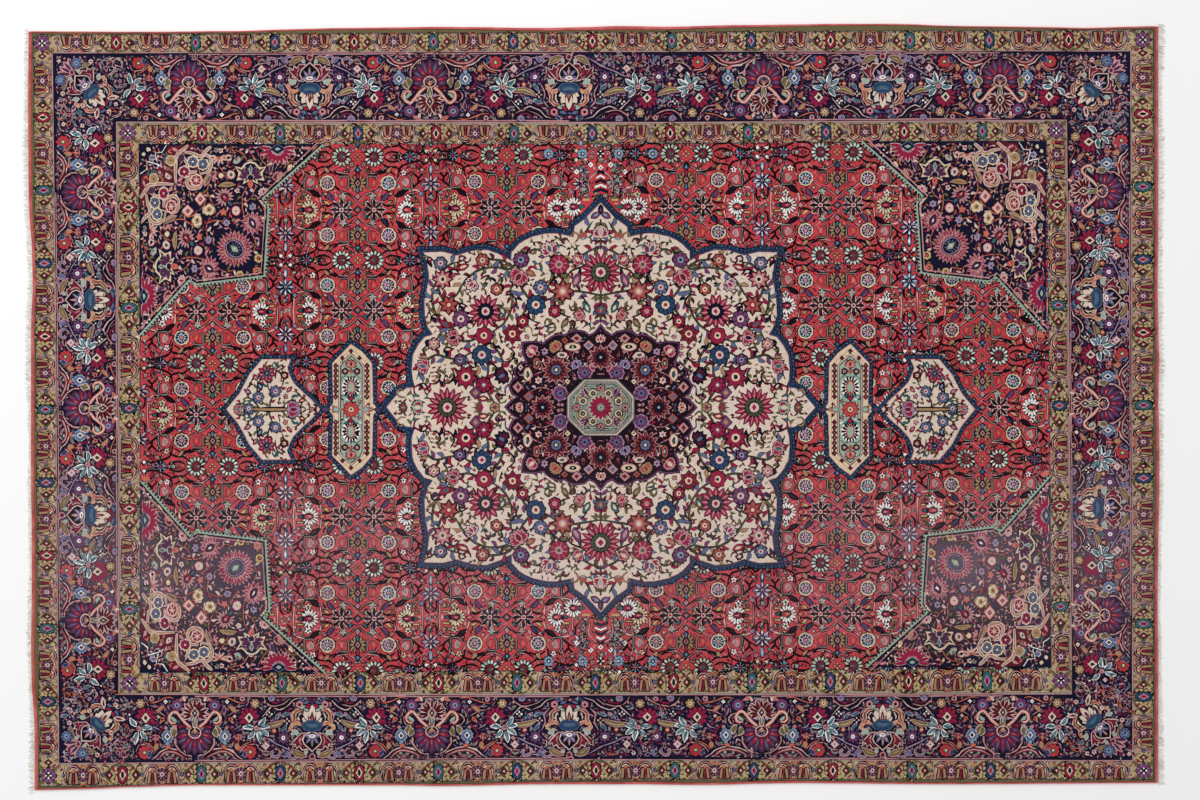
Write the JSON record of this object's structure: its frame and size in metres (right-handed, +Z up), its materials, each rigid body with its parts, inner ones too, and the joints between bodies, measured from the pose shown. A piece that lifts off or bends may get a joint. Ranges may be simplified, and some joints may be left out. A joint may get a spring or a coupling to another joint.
{
  "type": "persian rug",
  "caption": "Hand-knotted wool rug lying flat, with overcast side cords, flat-woven end bands and a short cotton fringe at each end.",
  "frame": {"origin": "middle of the floor area that the rug covers, fringes included, at floor level", "axes": "+Z up through the pile; +X along the rug's length, from one fringe to the other; +Y across the rug"},
  "size_m": [3.0449, 2.0508, 0.01],
  "materials": {
    "knotted_wool": "cut wool pile, matt with a soft sheen, madder red, indigo, ivory and gold",
    "red_wool": "wrapped and flat-woven wool yarn, matt",
    "undyed_cotton": "undyed cotton warp ends, matt"
  },
  "bodies": {
    "root": {"pile_body": "knotted_wool", "side_cord_north": "red_wool", "side_cord_south": "red_wool", "end_band_west": "red_wool", "end_band_east": "red_wool", "fringe_west": "undyed_cotton", "fringe_east": "undyed_cotton"}
  },
  "joints": []
}
